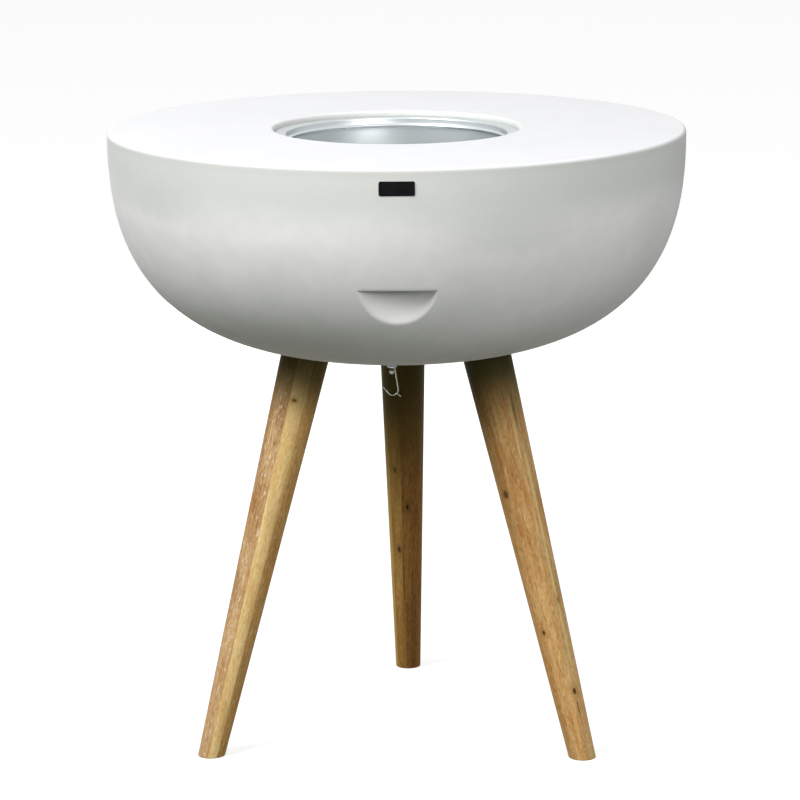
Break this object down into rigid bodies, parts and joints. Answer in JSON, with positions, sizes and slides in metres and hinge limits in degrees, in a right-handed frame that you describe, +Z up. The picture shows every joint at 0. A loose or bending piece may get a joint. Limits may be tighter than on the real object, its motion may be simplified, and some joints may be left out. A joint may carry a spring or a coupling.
{
  "type": "cooler side table",
  "caption": "Round concrete-look bowl on splayed tapered wooden legs; its flat top holds a recessed lift-out metal ice bucket, with hand grips in the side and a swivelling hook below",
  "frame": {"origin": "on the floor, under the bowl's vertical axis", "axes": "+Z up, -Y towards the front with the badge and one hand grip, +X to the right of someone facing the front"},
  "size_m": [0.9, 0.9003, 0.97],
  "materials": {
    "deck_concrete": "smooth pale concrete, sealed",
    "bowl_concrete": "light grey fibre concrete with a soft mottle",
    "bucket_steel": "satin stainless sheet",
    "gasket_rubber": "soft black rubber",
    "foam": "closed-cell foam",
    "badge_black": "satin black",
    "leg_wood": "oiled turned hardwood",
    "zinc_steel": "zinc-plated steel",
    "bright_steel": "polished stainless steel"
  },
  "bodies": {
    "table": {"top_deck": "deck_concrete", "bowl_shell": "bowl_concrete", "rim_gasket": "gasket_rubber", "insulation_sleeve": "foam", "insulation_base": "foam", "badge_plate": "badge_black", "badge_pins": "zinc_steel", "leg_front_left": "leg_wood", "leg_front_right": "leg_wood", "leg_back": "leg_wood", "leg_bolts": "zinc_steel", "leg_inserts": "zinc_steel", "hook_stud": "bright_steel", "hook_nuts": "bright_steel", "hook_washers": "bright_steel", "hook_dome_nut": "bright_steel"},
    "bucket": {"ice_bucket": "bucket_steel"},
    "swivel_hook": {"hook": "bright_steel"}
  },
  "joints": [
    {"name": "bucket_lift", "type": "slide", "parent": "table", "child": "bucket", "axis": [0, 0, 1], "range_m": [0, 0.23]},
    {"name": "hook_swivel", "type": "hinge", "parent": "table", "child": "swivel_hook", "pos_m": [-0.01, 0, 0.5876], "axis": [0, 0, 1], "continuous": true}
  ]
}
